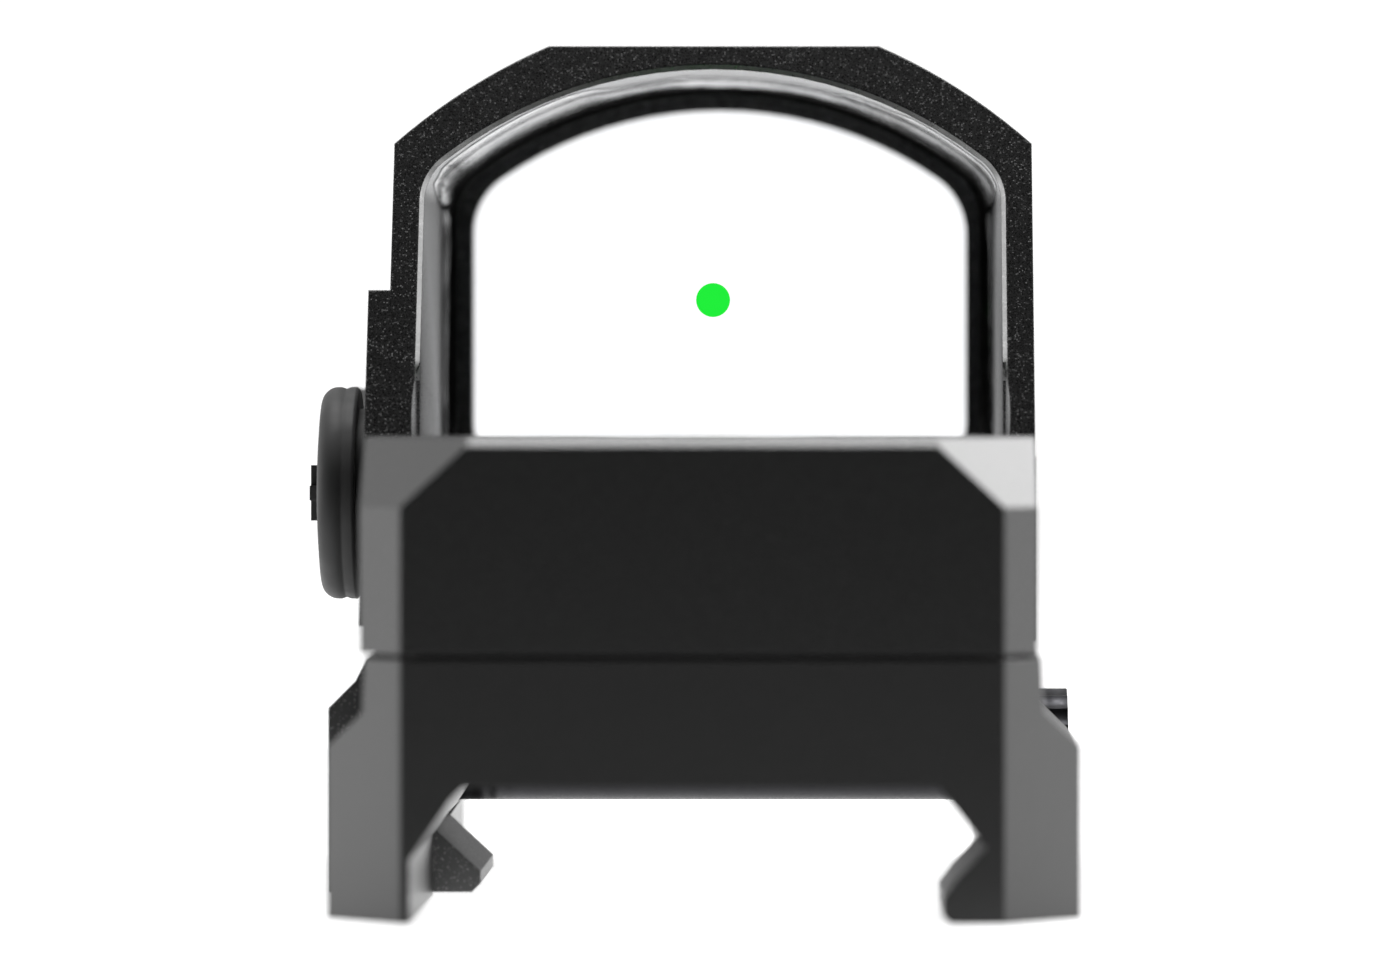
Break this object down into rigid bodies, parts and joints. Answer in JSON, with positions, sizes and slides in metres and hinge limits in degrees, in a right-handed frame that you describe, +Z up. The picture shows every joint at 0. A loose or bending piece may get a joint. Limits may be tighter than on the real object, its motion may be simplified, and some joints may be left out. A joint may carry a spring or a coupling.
{
  "type": "red dot finder",
  "caption": "Open reflex dot finder: hooded housing with a curved-top window, side buttons, adjustable emitter carriage, and a rail clamp with a sliding jaw and cross bolt.",
  "frame": {"origin": "on the seat that rests on the rail, on the rail's centre line, half way along the housing", "axes": "+X to the viewer's right looking through the lens, +Y forwards towards the target, +Z up"},
  "size_m": [0.0315, 0.045, 0.035],
  "materials": {
    "anodised_housing": "bead-blasted, matte black anodised",
    "anodised_mount": "matte black anodised",
    "lens_glass": "polished, coated",
    "window_glass": "polished",
    "adhesive": "cured black adhesive",
    "black_steel": "black oxide",
    "carriage_brass": "machined",
    "contact_brass": "stamped strip",
    "circuit_board": "solder-masked laminate",
    "chip_resin": "moulded resin",
    "emitter_chip": "clear moulded",
    "polyimide": "flexible film",
    "button_rubber": "matte moulded",
    "seal_rubber": "flat sheet",
    "spring_steel": "drawn wire and strip",
    "cell_steel": "nickel plated",
    "pin_steel": "ground"
  },
  "bodies": {
    "sight": {"housing": "anodised_housing", "objective_lens": "lens_glass", "lens_adhesive": "adhesive", "emitter_window": "window_glass", "elevation_seal": "seal_rubber", "elevation_spring": "spring_steel", "switch_base_up": "circuit_board", "switch_base_down": "circuit_board", "switch_dome_up": "spring_steel", "switch_dome_down": "spring_steel", "battery": "cell_steel", "main_board": "circuit_board", "control_chip": "chip_resin", "motion_sensor": "chip_resin", "battery_contact_top": "contact_brass", "battery_contact_side": "contact_brass", "flex_cable": "polyimide", "battery_seal": "seal_rubber", "rail_mount": "anodised_mount", "guide_pin_rear": "pin_steel", "guide_pin_front": "pin_steel", "jaw_spring": "spring_steel", "mount_screw_left": "black_steel", "mount_screw_right": "black_steel"},
    "elevation_adjuster": {"elevation_screw": "black_steel"},
    "elevation_carriage": {"elevation_slide": "carriage_brass", "windage_spring": "spring_steel"},
    "windage_adjuster": {"windage_screw": "black_steel"},
    "emitter_sled": {"windage_sled": "carriage_brass", "led_board": "circuit_board", "led_chip": "emitter_chip"},
    "up_button": {"button_up": "button_rubber"},
    "down_button": {"button_down": "button_rubber"},
    "cross_bolt": {"clamp_bolt": "black_steel"},
    "jaw": {"clamp_jaw": "anodised_mount"}
  },
  "joints": [
    {"name": "elevation_turn", "type": "hinge", "parent": "sight", "child": "elevation_adjuster", "pos_m": [0, -0.0165, 0.0128], "axis": [0, 0, 1], "range_deg": [-270, 270]},
    {"name": "elevation_travel", "type": "slide", "parent": "sight", "child": "elevation_carriage", "axis": [0, 0, 1], "range_m": [-0.0002625, 0.0002625]},
    {"name": "windage_turn", "type": "hinge", "parent": "elevation_carriage", "child": "windage_adjuster", "pos_m": [0.012, -0.0132, 0.0086], "axis": [1, 0, 0], "range_deg": [-270, 270]},
    {"name": "windage_travel", "type": "slide", "parent": "elevation_carriage", "child": "emitter_sled", "axis": [1, 0, 0], "range_m": [-0.0002625, 0.0002625]},
    {"name": "button_up_press", "type": "slide", "parent": "sight", "child": "up_button", "axis": [1, 0, 0], "range_m": [0, 0.0004], "stiffness_N_per_m": 2},
    {"name": "button_down_press", "type": "slide", "parent": "sight", "child": "down_button", "axis": [1, 0, 0], "range_m": [0, 0.0004], "stiffness_N_per_m": 2},
    {"name": "clamp_bolt_turn", "type": "hinge", "parent": "sight", "child": "cross_bolt", "pos_m": [0.0135, 0.0027, 0.00025], "axis": [1, 0, 0], "range_deg": [0, 1440]},
    {"name": "jaw_slide", "type": "slide", "parent": "sight", "child": "jaw", "axis": [-1, 0, 0], "range_m": [0, 0.0028]}
  ],
  "couplings": [
    {"joint": "elevation_turn", "follows": "elevation_travel", "rad_per_m": 17952},
    {"joint": "windage_turn", "follows": "windage_travel", "rad_per_m": 17952},
    {"joint": "clamp_bolt_turn", "follows": "jaw_slide", "rad_per_m": 8976}
  ]
}
